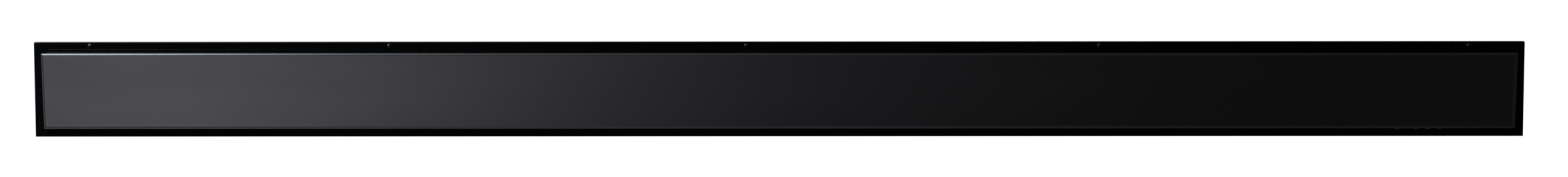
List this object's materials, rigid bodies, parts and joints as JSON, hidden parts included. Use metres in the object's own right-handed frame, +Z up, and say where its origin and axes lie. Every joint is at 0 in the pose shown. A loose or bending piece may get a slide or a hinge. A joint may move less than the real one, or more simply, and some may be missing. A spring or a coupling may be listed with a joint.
{
  "type": "recessed linear electric fireplace",
  "caption": "Long, low built-in electric fireplace: gloss surround, raised smoked-glass front that pulls off, flame rotors, ember bed and fan heater.",
  "frame": {"origin": "middle of the surround, on the wall face it seats against", "axes": "+X to the right as seen from the room, +Y into the wall, +Z up"},
  "size_m": [2.54, 0.1524, 0.1616],
  "materials": {
    "gloss_black": "high-gloss black enamel on folded steel",
    "black_screw": "black-plated dome-head screw",
    "satin_black": "satin black powder coat",
    "smoked_glass": "satin smoked glass, nearly opaque",
    "zinc_sheet": "zinc-coated sheet steel",
    "chamber_black": "matt black heat-resistant paint",
    "bright_steel": "bright steel strip",
    "reflector_foil": "mirror-finish foil",
    "diffuser": "frosted translucent sheet",
    "fire_glass": "clear tumbled fire glass",
    "circuit_board": "green circuit board",
    "led_board": "white light-strip board",
    "black_plastic": "moulded black plastic",
    "cast_alloy": "plain cast alloy",
    "heating_fins": "bare aluminium fins",
    "magnet_plating": "nickel-plated magnet",
    "ceramic_cream": "cream ceramic"
  },
  "bodies": {
    "housing": {"air_grille": "satin_black", "back_panel": "zinc_sheet", "back_reflector": "chamber_black", "blower_bearing": "black_plastic", "blower_end_left": "zinc_sheet", "blower_end_right": "zinc_sheet", "blower_lower_guide": "zinc_sheet", "blower_motor": "cast_alloy", "blower_upper_guide": "zinc_sheet", "bottom_pan": "zinc_sheet", "cable_gland": "black_plastic", "chamber_side_left": "chamber_black", "chamber_side_right": "chamber_black", "control_board": "circuit_board", "control_pod": "black_plastic", "ember_bed": "fire_glass", "ember_led_strip": "led_board", "ember_tray": "chamber_black", "flame_led_strip": "led_board", "flame_screen": "diffuser", "flange_screw_1": "black_screw", "flange_screw_2": "black_screw", "flange_screw_3": "black_screw", "flange_screw_4": "black_screw", "flange_screw_5": "black_screw", "front_bezel": "satin_black", "heater_duct": "zinc_sheet", "heater_element": "heating_fins", "ir_receiver": "black_plastic", "junction_box": "black_plastic", "led_driver": "cast_alloy", "left_end_cap": "zinc_sheet", "magnet_bottom_left": "magnet_plating", "magnet_bottom_right": "magnet_plating", "magnet_top_left": "magnet_plating", "magnet_top_right": "magnet_plating", "outlet_nozzle": "zinc_sheet", "right_end_cap": "zinc_sheet", "rotor_bracket_left": "zinc_sheet", "rotor_bracket_right": "zinc_sheet", "rotor_centre_bearing": "black_plastic", "rotor_motor_left": "cast_alloy", "rotor_motor_right": "cast_alloy", "surround_flange": "gloss_black", "terminal_block": "ceramic_cream", "thermal_cutout": "ceramic_cream", "top_cover": "zinc_sheet", "wall_bracket_left": "zinc_sheet", "wall_bracket_right": "zinc_sheet"},
    "front_glass": {"front_glass": "smoked_glass", "glass_strike_top": "bright_steel", "glass_strike_bottom": "bright_steel"},
    "flame_rotor_left": {"flame_rotor_left": "reflector_foil"},
    "flame_rotor_right": {"flame_rotor_right": "reflector_foil"},
    "blower_impeller": {"blower_impeller": "black_plastic"},
    "power_rocker": {"power_rocker": "black_plastic"},
    "button_light": {"button_light": "black_plastic"},
    "button_flame": {"button_flame": "black_plastic"},
    "button_heat": {"button_heat": "black_plastic"}
  },
  "joints": [
    {"name": "front_glass_pull", "type": "slide", "parent": "housing", "child": "front_glass", "axis": [0, -1, 0], "range_m": [0, 0.12]},
    {"name": "flame_rotor_left_spin", "type": "hinge", "parent": "housing", "child": "flame_rotor_left", "pos_m": [-0.58, 0.072, -0.002], "axis": [1, 0, 0], "continuous": true},
    {"name": "flame_rotor_right_spin", "type": "hinge", "parent": "housing", "child": "flame_rotor_right", "pos_m": [0.58, 0.072, -0.002], "axis": [1, 0, 0], "continuous": true},
    {"name": "blower_spin", "type": "hinge", "parent": "housing", "child": "blower_impeller", "pos_m": [0, 0.071, -0.0449], "axis": [1, 0, 0], "continuous": true},
    {"name": "power_rocker_tilt", "type": "hinge", "parent": "housing", "child": "power_rocker", "pos_m": [1.058, -0.0193, -0.0626], "axis": [0, 1, 0], "range_deg": [0, 16]},
    {"name": "button_light_press", "type": "slide", "parent": "housing", "child": "button_light", "axis": [0, 0, 1], "range_m": [0, 0.0012], "stiffness_N_per_m": 400, "springref_m": -0.0005},
    {"name": "button_flame_press", "type": "slide", "parent": "housing", "child": "button_flame", "axis": [0, 0, 1], "range_m": [0, 0.0012], "stiffness_N_per_m": 400, "springref_m": -0.0005},
    {"name": "button_heat_press", "type": "slide", "parent": "housing", "child": "button_heat", "axis": [0, 0, 1], "range_m": [0, 0.0012], "stiffness_N_per_m": 400, "springref_m": -0.0005}
  ]
}
